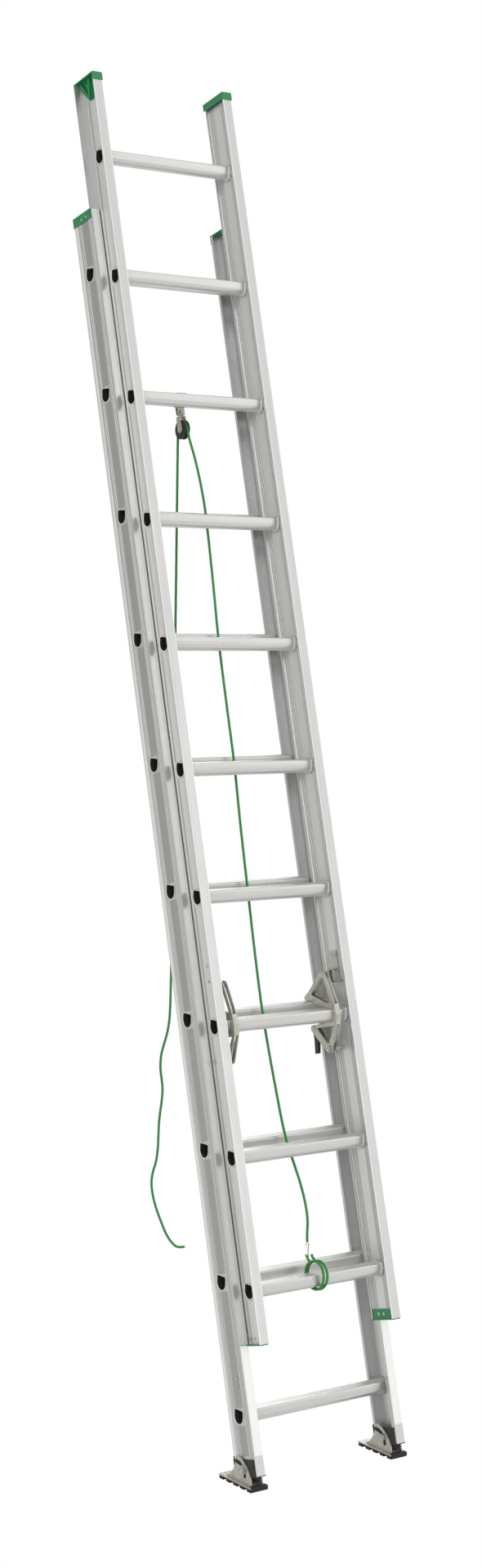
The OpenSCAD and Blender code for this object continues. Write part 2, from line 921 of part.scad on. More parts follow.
module fly_bottom_cap_left() {
  side(-1)
    color("seagreen")
      fly_bottom_cap();
}

module fly_bottom_cap_right() {
  side(1)
    color("seagreen")
      fly_bottom_cap();
}

module shoe_left() {
  side(-1)
    color("lightgray")
      shoe();
}

module shoe_right() {
  side(1)
    color("lightgray")
      shoe();
}

module shoe_pad_left() {
  side(-1)
    color("dimgray")
      shoe_pad();
}

module shoe_pad_right() {
  side(1)
    color("dimgray")
      shoe_pad();
}

module shoe_bolt_left() {
  side(-1)
    color("gray")
      shoe_bolt();
}

module shoe_bolt_right() {
  side(1)
    color("gray")
      shoe_bolt();
}

module rail_boot_left() {
  side(-1)
    color("dimgray")
      rail_boot();
}

module rail_boot_right() {
  side(1)
    color("dimgray")
      rail_boot();
}

module lock_body_left() {
  side(-1)
    color("lightgray") {
      lock_body();
      finger_rivet();
    }
}

module lock_body_right() {
  side(1)
    color("lightgray") {
      lock_body();
      finger_rivet();
    }
}

module lock_finger_left() {
  side(-1)
    color("dimgray")
      lock_finger();
}

module lock_finger_right() {
  side(1)
    color("dimgray")
      lock_finger();
}

module lock_guide_left() {
  side(-1)
    color("lightgray")
      lock_guide();
}

module lock_guide_right() {
  side(1)
    color("lightgray")
      lock_guide();
}

module lock_spring_left() {
  side(-1)
    color("gray")
      lock_spring();
}

module lock_spring_right() {
  side(1)
    color("gray")
      lock_spring();
}

module lock_pin_left() {
  side(-1)
    color("gray")
      lock_pin();
}

module lock_pin_right() {
  side(1)
    color("gray")
      lock_pin();
}

module base_rung_01() {
  color("gainsboro")
    base_rung(1);
}

module base_rung_02() {
  color("gainsboro")
    base_rung(2);
}

module base_rung_03() {
  color("gainsboro")
    base_rung(3);
}

module base_rung_04() {
  color("gainsboro")
    base_rung(4);
}

module base_rung_05() {
  color("gainsboro")
    base_rung(5);
}

module base_rung_06() {
  color("gainsboro")
    base_rung(6);
}

module base_rung_07() {
  color("gainsboro")
    base_rung(7);
}

module base_rung_08() {
  color("gainsboro")
    base_rung(8);
}

module base_rung_09() {
  color("gainsboro")
    base_rung(9);
}

module base_rung_10() {
  color("gainsboro")
    base_rung(10);
}

module fly_rung_01() {
  color("gainsboro")
    fly_rung(1);
}

module fly_rung_02() {
  color("gainsboro")
    fly_rung(2);
}

module fly_rung_03() {
  color("gainsboro")
    fly_rung(3);
}

module fly_rung_04() {
  color("gainsboro")
    fly_rung(4);
}

module fly_rung_05() {
  color("gainsboro")
    fly_rung(5);
}

module fly_rung_06() {
  color("gainsboro")
    fly_rung(6);
}

module fly_rung_07() {
  color("gainsboro")
    fly_rung(7);
}

module fly_rung_08() {
  color("gainsboro")
    fly_rung(8);
}

module fly_rung_09() {
  color("gainsboro")
    fly_rung(9);
}

module fly_rung_10() {
  color("gainsboro")
    fly_rung(10);
}

// ---------- nodes ----------

base_rail_left();
base_rail_right();
fly_rail_left();
fly_rail_right();
base_rung_01();
base_rung_02();
base_rung_03();
base_rung_04();
base_rung_05();
base_rung_06();
base_rung_07();
base_rung_08();
base_rung_09();
base_rung_10();
fly_rung_01();
fly_rung_02();
fly_rung_03();
fly_rung_04();
fly_rung_05();
fly_rung_06();
fly_rung_07();
fly_rung_08();
fly_rung_09();
fly_rung_10();
base_top_cap_left();
base_top_cap_right();
fly_top_cap_left();
fly_top_cap_right();
fly_bottom_cap_left();
fly_bottom_cap_right();
base_rivets();
fly_rivets();
shoe_left();
shoe_right();
shoe_pad_left();
shoe_pad_right();
shoe_bolt_left();
shoe_bolt_right();
rail_boot_left();
rail_boot_right();
lock_body_left();
lock_body_right();
lock_finger_left();
lock_finger_right();
lock_guide_left();
lock_guide_right();
lock_spring_left();
lock_spring_right();
lock_pin_left();
lock_pin_right();
pulley_strap();
pulley_block();
pulley_bolt();
pulley_sheave();
pulley_axle();
rope_run();
rope_tail();
rope_hitch();
rope_clip();
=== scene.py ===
"""Extension ladder: finishes, rope, rails, rungs and small parts over the construction solids."""

import json
import logging
import math
from dataclasses import dataclass
from enum import Enum
from typing import Sequence

import bmesh
import bpy
from mathutils import Matrix, Vector


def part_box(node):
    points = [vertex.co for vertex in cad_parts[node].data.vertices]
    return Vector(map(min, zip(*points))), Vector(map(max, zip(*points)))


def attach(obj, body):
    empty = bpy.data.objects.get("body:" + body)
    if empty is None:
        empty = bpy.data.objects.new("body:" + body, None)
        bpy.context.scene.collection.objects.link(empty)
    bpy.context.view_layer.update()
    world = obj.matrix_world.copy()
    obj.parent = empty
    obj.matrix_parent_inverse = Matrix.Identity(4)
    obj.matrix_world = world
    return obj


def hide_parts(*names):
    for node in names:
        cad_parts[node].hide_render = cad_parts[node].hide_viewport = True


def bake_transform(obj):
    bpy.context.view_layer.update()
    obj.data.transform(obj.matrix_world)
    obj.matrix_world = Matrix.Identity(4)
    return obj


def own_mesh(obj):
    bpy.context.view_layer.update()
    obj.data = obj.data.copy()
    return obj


logging.basicConfig(level=logging.INFO, format="%(message)s")
LOG = logging.getLogger("ladder")

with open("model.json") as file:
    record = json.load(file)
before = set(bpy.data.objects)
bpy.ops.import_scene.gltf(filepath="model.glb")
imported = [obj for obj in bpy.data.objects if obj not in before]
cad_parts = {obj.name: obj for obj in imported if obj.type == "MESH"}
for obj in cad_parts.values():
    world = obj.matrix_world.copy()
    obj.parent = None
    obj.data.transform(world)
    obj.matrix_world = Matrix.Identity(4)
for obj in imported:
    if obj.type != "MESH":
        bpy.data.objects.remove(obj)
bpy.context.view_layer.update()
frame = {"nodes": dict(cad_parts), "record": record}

MM = 0.001
RUNGS = 10
Point = tuple[float, float, float]
Flat = tuple[float, float]


class Side(Enum):
    """The two sides of the ladder, as the sign of x."""

    LEFT = -1
    RIGHT = 1

    @property
    def word(self) -> str:
        """The side's name as the nodes spell it."""
        return self.name.lower()


@dataclass(frozen=True)
class Lean:
    """The ladder's own axes inside the row frame, in millimetres.

    x runs across, d towards the climber and w up along the rails, from the lowest base rung's axis.
    """

    angle: float = 14.5
    bolt_drop: float = 118.0
    bolt_height: float = 42.8
    pitch: float = 304.8
    fly_drop: float = 26.0
    fly_depth: float = 72.0

    @property
    def sin(self) -> float:
        """Sine of the lean."""
        return math.sin(math.radians(self.angle))

    @property
    def cos(self) -> float:
        """Cosine of the lean."""
        return math.cos(math.radians(self.angle))

    def point(self, x: float, d: float, w: float) -> Vector:
        """Turn ladder millimetres into a row-frame point in metres.

        Args:
            x: distance across, to the right.
            d: distance towards the climber.
            w: distance up along the rails.

        Returns:
            The point in metres.
        """
        y = self.bolt_drop * self.sin + w * self.sin - d * self.cos
        z = self.bolt_height + self.bolt_drop * self.cos + w * self.cos + d * self.sin
        return Vector((x, y, z)) * MM

    @property
    def up(self) -> Vector:
        """Direction up along the rails."""
        return Vector((0.0, self.sin, self.cos))

    def base_rung(self, number: int) -> float:
        """Height w of a base rung, counted from 1."""
        return (number - 1) * self.pitch

    def fly_rung(self, number: int) -> float:
        """Height w of a fly rung, counted from 1."""
        return number * self.pitch - self.fly_drop


LEAN = Lean()


@dataclass(frozen=True)
class Web:
    """A right-hand rail's web: x of its inner and its outer face, in millimetres."""

    inner: float
    outer: float


BASE_WEB = Web(214.0, 216.2)
FLY_WEB = Web(189.8, 192.0)


# ---------------------------------------------------------------- finishes


def linear(code: str) -> tuple[float, float, float, float]:
    """Turn an sRGB hex code into linear colour with full alpha."""
    parts = [int(code[i : i + 2], 16) / 255.0 for i in (1, 3, 5)]
    r, g, b = (p / 12.92 if p <= 0.04045 else ((p + 0.055) / 1.055) ** 2.4 for p in parts)
    return (r, g, b, 1.0)


@dataclass(frozen=True)
class Finish:
    """One surface finish.

    The grain's size along and across the rails and the height of the bumps are in millimetres.
    """

    name: str
    light: str
    dark: str
    metallic: float = 0.0
    roughness: float = 0.5
    spread: float = 0.08
    along: float = 40.0
    across: float = 3.0
    bump: float = 0.05
    anisotropy: float = 0.0
    coat: float = 0.0


ALUMINIUM = Finish("mill_aluminium", "#CFD0CF", "#C3C5C5", 0.72, 0.30, 0.04, 900.0, 1.6, 0.0, 0.3)
# Painted highlight: a lighter copy of the mill aluminium, laid on flange lips, flange faces, beads and the
# cap's rivet dimples where the light catches them.
PAINTED_HIGHLIGHT = Finish("polished_aluminium", "#EFF0EF", "#E4E5E4", 0.55, 0.22, 0.03, 900.0, 1.6, 0.0)
# Etched aluminium for the base web's band, and painted shade: the same darker finish makes the strips beside
# the ridges and beside the fly's convex web, where shade falls.
ETCHED_AND_SHADE = Finish("etched_aluminium", "#B0AEAA", "#A19E99", 0.55, 0.42, 0.04, 500.0, 1.2, 0.0)
# Painted sheen: a lighter copy of the mill aluminium on the fly webs, where they catch the light.
PAINTED_SHEEN = Finish("satin_aluminium", "#DCDDDB", "#D2D3D1", 0.6, 0.36, 0.02, 500.0, 1.2, 0.0)
RUNG_METAL = Finish("rung_aluminium", "#D6D6D4", "#CBCBC9", 0.65, 0.30, 0.04, 2.0, 300.0, 0.0)
ZINC = Finish("zinc_plated_steel", "#C6C5BD", "#AFADA4", 0.7, 0.33, 0.08, 14.0, 10.0, 0.01)
STEEL = Finish("plain_steel", "#C9C9C6", "#9FA09E", 0.9, 0.28, 0.10, 6.0, 6.0, 0.01)
GREEN = Finish("green_polypropylene", "#14854C", "#0F7341", 0.0, 0.36, 0.05, 5.0, 5.0, 0.02, 0.0, 0.15)
BLACK = Finish("black_nylon", "#1D1D1E", "#121213", 0.0, 0.40, 0.08, 2.0, 2.0, 0.05)
RUBBER = Finish("black_rubber", "#1A1A1B", "#101011", 0.0, 0.62, 0.1, 2.0, 2.0, 0.08)
ROPE = Finish("green_polypropylene_rope", "#3A9A45", "#216C2C", 0.0, 0.5, 0.1, 1.2, 0.5, 0.1)
# Painted shade: a near-black finish inside each rung's bore, where the tube's hollow is in shade.
BORE_PAINTED_SHADE = Finish("rung_bore", "#231F1C", "#171412", 0.1, 0.7, 0.1, 8.0, 4.0, 0.0)


def add_node(tree: bpy.types.NodeTree, kind: str, at: tuple[int, int], **values: object) -> bpy.types.Node:
    """Add a node and set its sockets or properties.

    Args:
        tree: the node tree.
        kind: the node's type name.
        at: where it is drawn.
        values: property names, or socket names written with underscores.

    Returns:
        The node.
    """
    node = tree.nodes.new(kind)
    node.location = at
    for key, value in values.items():
        socket = node.inputs.get(key.replace("_", " "))
        if socket is not None:
            socket.default_value = value
        else:
            setattr(node, key, value)
    return node


def build_material(finish: Finish) -> bpy.types.Material:
    """Build a finish's material from noise laid along the rails.

    Args:
        finish: the finish to build.

    Returns:
        The material.
    """
    mat = bpy.data.materials.new(finish.name)
    mat.use_nodes = True
    tree = mat.node_tree
    tree.nodes.clear()
    out = add_node(tree, "ShaderNodeOutputMaterial", (700, 0))
    shader = add_node(tree, "ShaderNodeBsdfPrincipled", (400, 0), Metallic=finish.metallic)
    shader.inputs["Anisotropic"].default_value = finish.anisotropy
    shader.inputs["Coat Weight"].default_value = finish.coat
    coords = add_node(tree, "ShaderNodeTexCoord", (-900, 0))
    turn = add_node(tree, "ShaderNodeMapping", (-700, 0))
    turn.inputs["Rotation"].default_value = (math.radians(LEAN.angle), 0.0, 0.0)
    size = add_node(tree, "ShaderNodeMapping", (-500, 0))
    size.inputs["Scale"].default_value = (
        1.0 / (finish.across * MM),
        1.0 / (finish.across * MM),
        1.0 / (finish.along * MM),
    )
    fine = add_node(tree, "ShaderNodeTexNoise", (-300, 0), Scale=1.0, Detail=3.0)
    cloud = add_node(tree, "ShaderNodeTexNoise", (-300, -300), Scale=9.0, Detail=2.0)
    ramp = add_node(tree, "ShaderNodeValToRGB", (-100, 0))
    ramp.color_ramp.elements[0].color = linear(finish.dark)
    ramp.color_ramp.elements[0].position = 0.3
    ramp.color_ramp.elements[1].color = linear(finish.light)
    ramp.color_ramp.elements[1].position = 0.7
    rough = add_node(tree, "ShaderNodeMapRange", (-100, -300))
    rough.inputs["From Min"].default_value = 0.3
    rough.inputs["From Max"].default_value = 0.7
    rough.inputs["To Min"].default_value = max(0.02, finish.roughness - finish.spread)
    rough.inputs["To Max"].default_value = min(1.0, finish.roughness + finish.spread)
    bump = add_node(tree, "ShaderNodeBump", (100, -500), Strength=0.4, Distance=finish.bump * MM)
    link = tree.links.new
    link(coords.outputs["Object"], turn.inputs["Vector"])
    link(turn.outputs["Vector"], size.inputs["Vector"])
    link(size.outputs["Vector"], fine.inputs["Vector"])
    link(coords.outputs["Object"], cloud.inputs["Vector"])
    link(fine.outputs["Fac"], ramp.inputs["Fac"])
    link(cloud.outputs["Fac"], rough.inputs["Value"])
    link(fine.outputs["Fac"], bump.inputs["Height"])
    link(ramp.outputs["Color"], shader.inputs["Base Color"])
    link(rough.outputs["Result"], shader.inputs["Roughness"])
    link(bump.outputs["Normal"], shader.inputs["Normal"])
    link(shader.outputs["BSDF"], out.inputs["Surface"])
    return mat


MATERIALS: dict[str, bpy.types.Material] = {}


def material(finish: Finish) -> bpy.types.Material:
    """Return the finish's material, building it the first time."""
    if finish.name not in MATERIALS:
        MATERIALS[finish.name] = build_material(finish)
    return MATERIALS[finish.name]


# ---------------------------------------------------------------- mesh helpers


def new_object(name: str, mesh: bmesh.types.BMesh, finish: Finish, smooth: float = 35.0) -> bpy.types.Object:
    """Turn a bmesh, in metres in the row frame, into an object.

    Args:
        name: the piece's name.
        mesh: the geometry; it is freed.
        finish: the finish it wears.
        smooth: edges sharper than this many degrees stay sharp.

    Returns:
        The object, at the origin.
    """
    bmesh.ops.recalc_face_normals(mesh, faces=mesh.faces)
    data = bpy.data.meshes.new(name)
    for face in mesh.faces:
        face.smooth = True
    limit = math.radians(smooth)
    for edge in mesh.edges:
        if len(edge.link_faces) == 2 and edge.calc_face_angle(0.0) > limit:
            edge.smooth = False
    mesh.to_mesh(data)
    mesh.free()
    data.materials.append(material(finish))
    obj = bpy.data.objects.new(name, data)
    bpy.context.scene.collection.objects.link(obj)
    return obj


def sweep(mesh: bmesh.types.BMesh, path: Sequence[Vector], radius: float, sides: int) -> None:
    """Sweep a circle along a path and close both ends.

    Args:
        mesh: the bmesh to add to.
        path: the centre line, in metres.
        radius: its radius in metres.
        sides: corners of the circle.
    """
    count = len(path)
    normal = Vector((1.0, 0.0, 0.0))
    rings = []
    for i, centre in enumerate(path):
        tangent = (path[min(i + 1, count - 1)] - path[max(i - 1, 0)]).normalized()
        normal = (normal - tangent * normal.dot(tangent)).normalized()
        side = tangent.cross(normal)
        rings.append(
            [
                mesh.verts.new(centre + radius * (normal * math.cos(a) + side * math.sin(a)))
                for a in (2 * math.pi * j / sides for j in range(sides))
            ]
        )
    for a, b in zip(rings, rings[1:]):
        for j in range(sides):
            mesh.faces.new((a[j], a[(j + 1) % sides], b[(j + 1) % sides], b[j]))
    mesh.faces.new(rings[0][::-1])
    mesh.faces.new(rings[-1])


def resample(points: Sequence[Vector], step: float) -> list[Vector]:
    """Run a smooth curve through points and cut it in even steps.

    Args:
        points: the points it goes through.
        step: the step in metres.

    Returns:
        The new points, both ends kept.
    """
    pts = [points[0] * 2 - points[1], *points, points[-1] * 2 - points[-2]]
    dense: list[Vector] = []
    for p0, p1, p2, p3 in zip(pts, pts[1:], pts[2:], pts[3:]):
        k0, k1, k2 = (math.sqrt((b - a).length) for a, b in ((p0, p1), (p1, p2), (p2, p3)))
        m1 = (p1 - p0) / k0 - (p2 - p0) / (k0 + k1) + (p2 - p1) / k1
        m2 = (p2 - p1) / k1 - (p3 - p1) / (k1 + k2) + (p3 - p2) / k2
        m1, m2 = m1 * k1, m2 * k1
        n = max(6, int((p2 - p1).length / (step * 0.5)))
        for i in range(n):
            t = i / n
            dense.append(
                (2 * t**3 - 3 * t**2 + 1) * p1
                + (t**3 - 2 * t**2 + t) * m1
                + (-2 * t**3 + 3 * t**2) * p2
                + (t**3 - t**2) * m2
            )
    dense.append(points[-1].copy())
    length = path_length(dense)
    count = max(2, round(length / step))
    out, walked, k = [dense[0].copy()], 0.0, 0
    for i in range(1, count):
        target = length * i / count
        while walked + (dense[k + 1] - dense[k]).length < target:
            walked += (dense[k + 1] - dense[k]).length
            k += 1
        seg = (dense[k + 1] - dense[k]).length
        out.append(dense[k].lerp(dense[k + 1], (target - walked) / seg))
    out.append(dense[-1].copy())
    return out


def path_length(points: Sequence[Vector]) -> float:
    """Length of a path in its own unit."""
    return sum((b - a).length for a, b in zip(points, points[1:]))


# ---------------------------------------------------------------- camera


@dataclass
class Viewpoint:
    """The camera, placed from the ladder's own frame.

    The lens is given by its focal length over the height of the frame.
    """

    stand: Point = (-3.5389, -4.5401, 2.0117)
    yaw: float = 35.859
    pitch: float = -4.044
    roll: float = 0.836
    focal_share: float = 3077.8 / 1920.0
    sensor: float = 36.0

    def build(self) -> None:
        """Add the camera and make it the scene's own."""
        data = bpy.data.cameras.new("camera")
        data.sensor_fit = "VERTICAL"
        data.sensor_height = self.sensor
        data.lens = self.focal_share * self.sensor
        data.clip_end = 100.0
        cam = bpy.data.objects.new("camera", data)
        turn = (
            Matrix.Rotation(math.radians(-self.yaw), 4, "Z")
            @ Matrix.Rotation(math.radians(90.0 + self.pitch), 4, "X")
            @ Matrix.Rotation(math.radians(self.roll), 4, "Z")
        )
        cam.matrix_world = Matrix.Translation(Vector(self.stand)) @ turn
        bpy.context.scene.collection.objects.link(cam)
        bpy.context.scene.camera = cam


# ---------------------------------------------------------------- rope


@dataclass
class RopeWork:
    """The laid rope: run, turn over the sheave, free tail, and hitch round the lowest fly rung.

    Points are [x, d, w] in millimetres; the tail's are its stray and its drop below the sheave.
    drop is how far below the sheave, in metres, the tail stops following the block, and run_keep
    the share of the run's length that is left when the fly is all the way up; run_keep is not used.
    """

    diameter: float = 7.0
    lay: float = 21.0
    step: float = 2.6
    sheave_d: float = -3.0
    sheave_w: float = 8 * 304.8 - 74.4
    wrap_r: float = 20.7
    drop: float = 0.14
    run_keep: float = 0.063
    run: Sequence[Point] = (
        (-1, 25, -46), (-2, 34, -80), (1, 38, -130), (4, 40, -200), (5, 38, -251), (2, 36, -390),
        (-5, 36, -544), (-7, 36, -700), (-8, 36, -847), (-14, 36, -1000), (-18, 36, -1145),
        (-22, 36, -1300), (-23, 36, -1450), (-16, 36, -1610), (-5, 37, -1754), (1, 46, -1810),
        (5, 56, -1860), (7, 62, -1905), (6, 64, -1945), (1, 62, -1978), (-1, 60, -1997),
    )
    tail: Sequence[tuple[float, float]] = (
        (0, 20), (0, 120), (0, 420), (0, 760), (0, 1080), (0, 1344), (5, 1470), (14, 1504),
        (38, 1560), (41, 1594), (31, 1650), (44, 1731), (49, 1805), (57, 1838), (70, 1866),
        (74, 1894), (66, 1926), (53, 1953), (30, 1988), (7, 2018), (-17, 2038), (-41, 2048),
        (-70, 2047),
    )

    def on_sheave(self, angle: float) -> Vector:
        """Point of the rope's centre line on the sheave, at an angle from the front."""
        a = math.radians(angle)
        d = self.sheave_d + self.wrap_r * math.cos(a)
        return LEAN.point(0, d, self.sheave_w + self.wrap_r * math.sin(a))

    def run_points(self) -> list[Vector]:
        """The run from below the sheave to the hook."""
        return [LEAN.point(x, d, self.sheave_w + w) for x, d, w in self.run]

    def turn_points(self) -> list[Vector]:
        """From the run's top over the sheave to its rear."""
        lead = [LEAN.point(-1, 25, self.sheave_w - 46), LEAN.point(0, 19, self.sheave_w - 22)]
        return lead + [self.on_sheave(a) for a in range(-4, 181, 23)]

    def tail_points(self) -> list[Vector]:
        """The free tail below the sheave's rear."""
        rear = self.on_sheave(180)
        return [
            Vector((-0.36 * stray * MM, rear.y + 0.5 * stray * MM, rear.z - drop * MM))
            for stray, drop in self.tail
        ]

    def hitch_points(self) -> list[Vector]:
        """Two turns round the lowest fly rung, hung from the hook."""
        pts: list[Point] = [(7, -13, 58), (8.5, -10, 50)]
        steps = 30
        for i in range(steps + 1):
            t = i / steps
            a = math.radians(100 - 720 * t)
            pts.append((10 - 17 * t, 2 + (37 - 7 * t) * math.cos(a), 10 + (33 - t) * math.sin(a)))
        pts += [(-7.5, -9, 49), (-6.5, -13, 58)]
        return [LEAN.point(x, LEAN.fly_depth + d, LEAN.fly_rung(1) + w) for x, d, w in pts]

    def laid(
        self, name: str, path: Sequence[Vector], phase: float = 0.0, knob: bool = False
    ) -> bpy.types.Object:
        """Lay three strands round a path.

        Args:
            name: the piece's name.
            path: even steps along the centre line.
            phase: turn of the lay at the start, in radians.
            knob: whether the far end is melted into a small knob.

        Returns:
            The rope piece.
        """
        mesh = bmesh.new()
        strand = self.diameter * 0.262 * MM
        offset = self.diameter * 0.238 * MM
        normal = Vector((1.0, 0.0, 0.0))
        lines: list[list[Vector]] = [[], [], []]
        walked = 0.0
        for i, centre in enumerate(path):
            a, b = path[max(i - 1, 0)], path[min(i + 1, len(path) - 1)]
            tangent = (b - a).normalized()
            normal = (normal - tangent * normal.dot(tangent)).normalized()
            side = tangent.cross(normal)
            if i:
                walked += (centre - path[i - 1]).length
            for j in range(3):
                turn = phase + 2 * math.pi * (walked / (self.lay * MM) + j / 3)
                lines[j].append(centre + offset * (normal * math.cos(turn) + side * math.sin(turn)))
        for line in lines:
            sweep(mesh, line, strand, 7)
        if knob:
            bmesh.ops.create_uvsphere(
                mesh, u_segments=14, v_segments=8, radius=self.diameter * 0.5 * MM,
                matrix=Matrix.Translation(path[-1]),
            )
        obj = new_object(name, mesh, ROPE, 50.0)
        return obj

    def advance(self, path: Sequence[Vector]) -> float:
        """Turn of the lay along a path, in radians."""
        return 2 * math.pi * path_length(path) / (self.lay * MM)

    def build(self) -> None:
        turn_and_tail = resample(self.turn_points() + self.tail_points(), self.step * MM)
        front, rear = self.on_sheave(0), self.on_sheave(180)
        first = next(i for i, p in enumerate(turn_and_tail) if p.z > front.z)
        last = [i for i, p in enumerate(turn_and_tail) if p.z > rear.z][-1]
        low = next(i for i, p in enumerate(turn_and_tail) if i > last and p.z < rear.z - self.drop)

        lead = self.laid("rope_lead", turn_and_tail[: first + 1])
        phase = self.advance(turn_and_tail[: first + 1])
        wrap = self.laid("rope_wrap", turn_and_tail[first : last + 1], phase)
        phase += self.advance(turn_and_tail[first : last + 1])
        drop = self.laid("rope_drop", turn_and_tail[last : low + 1], phase)
        phase += self.advance(turn_and_tail[last : low + 1])
        tail = self.laid("rope_tail_hanging", turn_and_tail[low:], phase, knob=True)
        run_path = resample(self.run_points(), self.step * MM)
        run = self.laid("rope_run_laid", run_path)
        hitch_path = resample(self.hitch_points(), self.step * MM)
        hitch = self.laid("rope_hitch_laid", hitch_path)

        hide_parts("rope_run")
        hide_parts("rope_tail")
        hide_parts("rope_hitch")
        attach(hitch, "fly")
        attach(wrap, "block")
        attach(tail, "base")
        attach(run, "base")
        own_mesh(run)
        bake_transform(lead)
        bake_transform(drop)
        total = path_length(turn_and_tail) + path_length(run_path) + path_length(hitch_path)
        LOG.info("rope: free tail %.3f m, all of it %.3f m", path_length(turn_and_tail[last:]), total)


# ---------------------------------------------------------------- rungs


@dataclass
class RungWork:
    """D-shaped rungs: ribbed tread, swaged collar inside each web, flared rim outside it."""

    half: float = 16.5
    top: float = 16.0
    corner: float = 5.0
    drop: float = 0.5
    ribs: int = 5
    groove: float = 0.9

    def outline(self, grow: float, groove: float) -> list[Flat]:
        """D outline as (y, z) in millimetres, level on top.

        Args:
            grow: growth beyond the tube.
            groove: depth of the grooves in the tread.

        Returns:
            The outline's points, always the same number.
        """
        cx, cz = self.half - self.corner, self.top - self.corner
        steps = self.ribs * 8
        pts = self.arc(0.0, -self.drop, self.half + grow, 2, 24)
        pts += self.arc(cx, cz, self.corner + grow, 0, 6)
        for i in range(1, steps):
            wave = 0.5 - 0.5 * math.cos(2 * math.pi * self.ribs * i / steps)
            pts.append((cx - 2 * cx * i / steps, self.top + grow - groove * wave))
        pts += self.arc(-cx, cz, self.corner + grow, 1, 6)
        return pts

    def arc(self, y: float, z: float, radius: float, quarter: int, steps: int) -> list[Flat]:
        """Points of an arc from the start of a quarter turn: a half turn from 2, else a quarter.

        Args:
            y: y of its centre.
            z: z of its centre.
            radius: its radius.
            quarter: quarter turns before its start.
            steps: its number of steps.

        Returns:
            Its points, both ends kept.
        """
        swing = math.pi if quarter == 2 else 0.5 * math.pi
        angles = (0.5 * math.pi * quarter + swing * i / steps for i in range(steps + 1))
        return [(y + radius * math.cos(a), z + radius * math.sin(a)) for a in angles]

    def build(self, name: str, centre: Vector, web: Web) -> bpy.types.Object:
        """Build one rung.

        Args:
            name: the piece's name.
            centre: middle of the rung's axis, in metres.
            web: the webs that it is swaged into.

        Returns:
            The rung.
        """
        inner, outer = web.inner, web.outer
        skin = [
            (0.0, 0.0, self.groove), (inner - 12, 0.0, self.groove), (inner - 9, 0.3, 0.3),
            (inner - 7, 1.4, 0.0), (inner - 5, 2.8, 0.0), (inner - 2.5, 3.0, 0.0),
            (inner - 0.6, 2.2, 0.0), (inner - 0.02, 0.0, 0.0), (outer + 0.02, 0.0, 0.0),
            (outer + 0.1, 2.7, 0.0), (outer + 0.7, 3.0, 0.0), (outer + 1.15, 2.4, 0.0),
            (outer + 1.2, 1.2, 0.0), (outer + 0.9, 0.0, 0.0),
        ]
        bore = [(outer + 0.2, -0.6, 0.0), (outer - 5, -0.8, 0.0), (outer - 9, -2.0, 0.0)]
        rings = [(-x, g, h) for x, g, h in reversed(skin[1:])] + skin + bore
        rings += [(-x, g, h) for x, g, h in reversed(bore)]
        mesh = bmesh.new()
        loops = [
            [mesh.verts.new(centre + Vector((x, y, z)) * MM) for y, z in self.outline(g, h)]
            for x, g, h in rings
        ]
        # Faces from here to the last ring are the bore, in the painted-shade finish.
        painted_shade_from = len(rings) - 2 * len(bore)
        for i, (a, b) in enumerate(zip(loops, loops[1:] + loops[:1])):
            for j in range(len(a)):
                k = (j + 1) % len(a)
                face = mesh.faces.new((a[j], a[k], b[k], b[j]))
                face.material_index = 1 if i >= painted_shade_from and i < len(rings) - 1 else 0
        obj = new_object(name, mesh, RUNG_METAL, 40.0)
        obj.data.materials.append(material(BORE_PAINTED_SHADE))
        return obj

    def build_all(self) -> None:
        """Build both sections' rungs in place of the solids."""
        for section, web, height, depth in (
            ("base", BASE_WEB, LEAN.base_rung, 0.0),
            ("fly", FLY_WEB, LEAN.fly_rung, LEAN.fly_depth),
        ):
            for number in range(1, RUNGS + 1):
                node = f"{section}_rung_{number:02d}"
                obj = self.build(f"{node}_ribbed", LEAN.point(0, depth, height(number)), web)
                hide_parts(node)
                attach(obj, section)


# ---------------------------------------------------------------- rail trim


